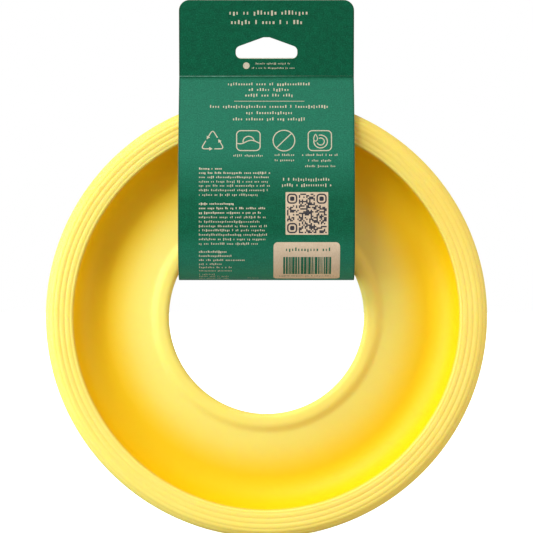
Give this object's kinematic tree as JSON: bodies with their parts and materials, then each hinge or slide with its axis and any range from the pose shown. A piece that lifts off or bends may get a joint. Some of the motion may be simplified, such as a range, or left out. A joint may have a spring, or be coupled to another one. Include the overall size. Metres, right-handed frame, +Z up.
{
  "type": "flying ring",
  "caption": "Soft round flying ring with a ridged rim and a beaded centre hole, held in a looped board hang card with a hang hole.",
  "frame": {"origin": "centre of the hang hole, half way through the header", "axes": "+X across the card, +Z up, -Y towards the ring's open underside and the card's back panel"},
  "size_m": [0.23, 0.0405, 0.2796],
  "materials": {
    "ring_rubber": "satin",
    "card_board": "matte print on unbleached board",
    "card_glue": "dull dried glue"
  },
  "bodies": {
    "header": {"back_header_ply": "card_board", "front_header_ply": "card_board", "upper_glue_stripe": "card_glue", "lower_glue_stripe": "card_glue"},
    "card_loop": {"back_panel": "card_board", "bottom_fold": "card_board", "front_panel": "card_board"},
    "ring": {"ring": "ring_rubber"}
  },
  "joints": [
    {"name": "header_crease", "type": "hinge", "parent": "header", "child": "card_loop", "pos_m": [0, 0.00184, -0.01499], "axis": [1, 0, 0], "range_deg": [-70, 70]},
    {"name": "ring_turn", "type": "hinge", "parent": "card_loop", "child": "ring", "pos_m": [0, 0.00584, -0.13979], "axis": [0, 1, 0], "continuous": true}
  ]
}
